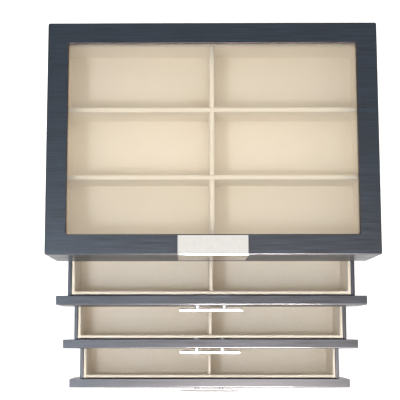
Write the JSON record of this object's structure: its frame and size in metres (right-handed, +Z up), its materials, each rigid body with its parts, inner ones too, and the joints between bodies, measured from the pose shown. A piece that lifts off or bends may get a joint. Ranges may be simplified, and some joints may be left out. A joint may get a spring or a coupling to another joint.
{
  "type": "eyeglass display case",
  "caption": "Wooden eyeglass display case: a glass-lidded tray of suede-lined compartments over drawers lined the same way.",
  "frame": {"origin": "centre of the case footprint (drawers left out), on the surface it stands on", "axes": "+Z up; +Y to the rear, where the lid hinges; the drawers pull out along -Y; +X to the right seen from the front"},
  "size_m": [0.362, 0.4217, 0.275],
  "materials": {
    "lacquered_wood": "satin charcoal lacquer over fine straight grain",
    "stained_wood": "dark stained, matt",
    "hardboard": "dark stained thin board",
    "suede": "beige brushed suede cloth over board",
    "glass": "clear float glass",
    "polished_steel": "mirror polished",
    "chrome": "bright chrome plate",
    "zinc_steel": "zinc plated",
    "hinge_steel": "nickel plated",
    "felt": "black felt"
  },
  "bodies": {
    "carcass": {"back_panel": "lacquered_wood", "base_board": "lacquered_wood", "base_felt": "felt", "drawer_stops": "stained_wood", "hinge_lower_leaves": "hinge_steel", "hinge_pins": "hinge_steel", "left_side_panel": "lacquered_wood", "right_side_panel": "lacquered_wood", "shelves": "hardboard", "top_front_rail": "lacquered_wood", "tray_cross_divider": "suede", "tray_floor": "hardboard", "tray_floor_pad": "suede", "tray_liner_walls": "suede", "tray_long_dividers": "suede"},
    "lid": {"glass_pane": "glass", "glazing_beads": "stained_wood", "hinge_upper_leaves": "hinge_steel", "lid_bumpers": "felt", "lid_front_rail": "lacquered_wood", "lid_rear_rail": "lacquered_wood", "lid_side_rails": "lacquered_wood", "lid_top_frame": "lacquered_wood", "name_plate": "polished_steel"},
    "drawer_1": {"drawer_1_back": "stained_wood", "drawer_1_bottom": "hardboard", "drawer_1_cross_divider": "suede", "drawer_1_floor_pad": "suede", "drawer_1_front": "lacquered_wood", "drawer_1_left_side": "stained_wood", "drawer_1_liner_walls": "suede", "drawer_1_long_dividers": "suede", "drawer_1_pull": "chrome", "drawer_1_pull_screws": "zinc_steel", "drawer_1_right_side": "stained_wood"},
    "drawer_2": {"drawer_2_back": "stained_wood", "drawer_2_bottom": "hardboard", "drawer_2_cross_divider": "suede", "drawer_2_floor_pad": "suede", "drawer_2_front": "lacquered_wood", "drawer_2_left_side": "stained_wood", "drawer_2_liner_walls": "suede", "drawer_2_long_dividers": "suede", "drawer_2_pull": "chrome", "drawer_2_pull_screws": "zinc_steel", "drawer_2_right_side": "stained_wood"},
    "drawer_3": {"drawer_3_back": "stained_wood", "drawer_3_bottom": "hardboard", "drawer_3_cross_divider": "suede", "drawer_3_floor_pad": "suede", "drawer_3_front": "lacquered_wood", "drawer_3_left_side": "stained_wood", "drawer_3_liner_walls": "suede", "drawer_3_long_dividers": "suede", "drawer_3_pull": "chrome", "drawer_3_pull_screws": "zinc_steel", "drawer_3_right_side": "stained_wood"}
  },
  "joints": [
    {"name": "lid_hinge", "type": "hinge", "parent": "carcass", "child": "lid", "pos_m": [0, 0.1309, 0.2404], "axis": [-1, 0, 0], "range_deg": [0, 95]},
    {"name": "drawer_1_slide", "type": "slide", "parent": "carcass", "child": "drawer_1", "axis": [0, -1, 0], "range_m": [-0.051, 0.149]},
    {"name": "drawer_2_slide", "type": "slide", "parent": "carcass", "child": "drawer_2", "axis": [0, -1, 0], "range_m": [-0.102, 0.098]},
    {"name": "drawer_3_slide", "type": "slide", "parent": "carcass", "child": "drawer_3", "axis": [0, -1, 0], "range_m": [-0.153, 0.047]}
  ]
}
